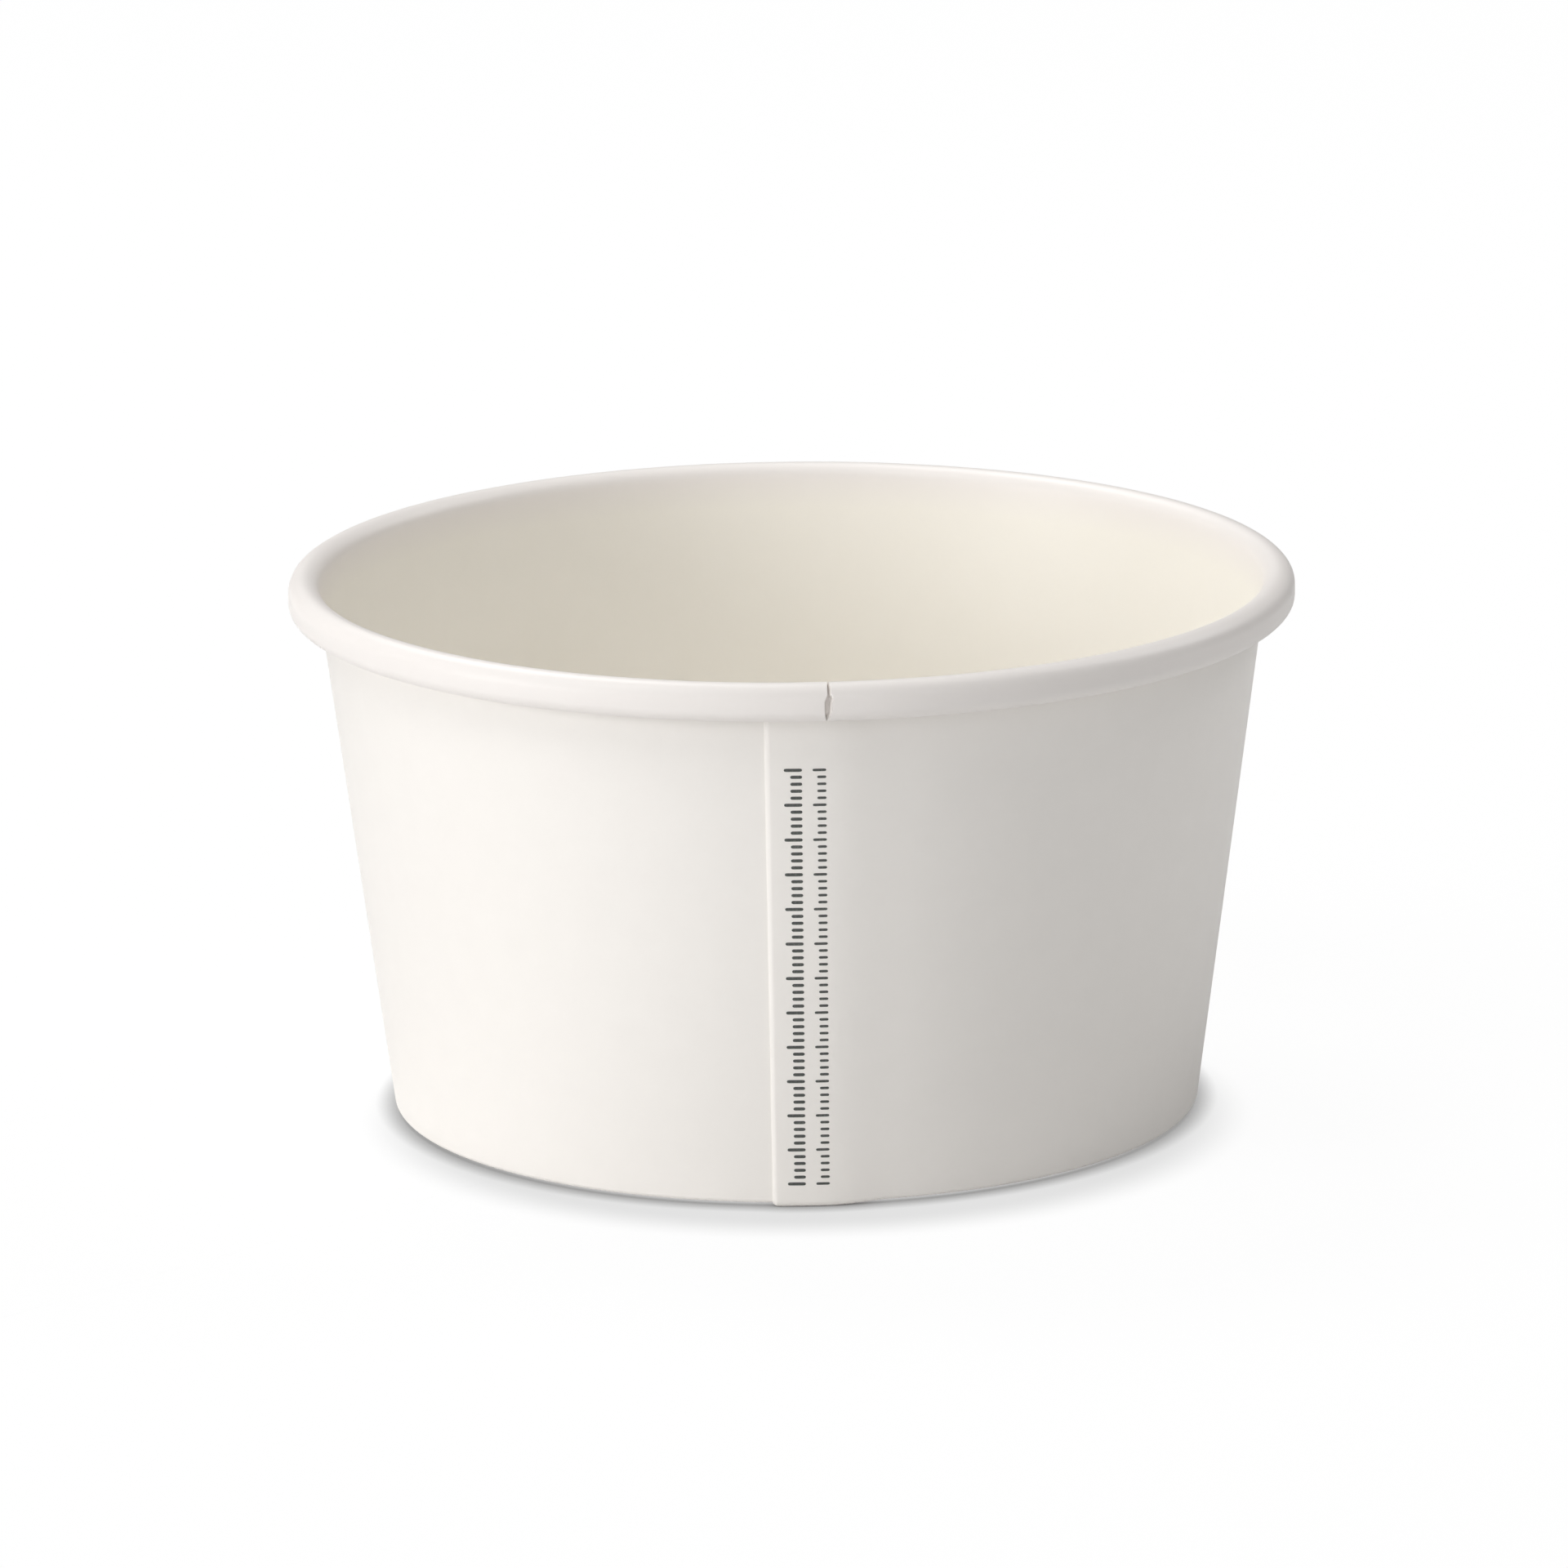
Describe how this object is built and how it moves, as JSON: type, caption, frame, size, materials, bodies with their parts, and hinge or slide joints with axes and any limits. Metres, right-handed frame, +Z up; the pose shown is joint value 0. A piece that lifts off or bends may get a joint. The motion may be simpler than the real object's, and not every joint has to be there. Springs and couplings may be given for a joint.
{
  "type": "paper soup container",
  "caption": "Round tapered takeaway soup container of white paperboard: lapped side seam, rolled rim and a recessed base disc. Open at the top.",
  "frame": {"origin": "middle of the foot's ring, on the surface that the container stands on", "axes": "+Z up along the container's axis, -Y through the front, where the side seam's cut edge stands 3.4 degrees towards -X"},
  "size_m": [0.115, 0.115, 0.0625],
  "materials": {
    "sidewall_board": "clay-coated white paperboard, satin outside and cream inside",
    "base_board": "coated cream paperboard, satin"
  },
  "bodies": {
    "root": {"sidewall": "sidewall_board", "base_disc": "base_board"}
  },
  "joints": []
}
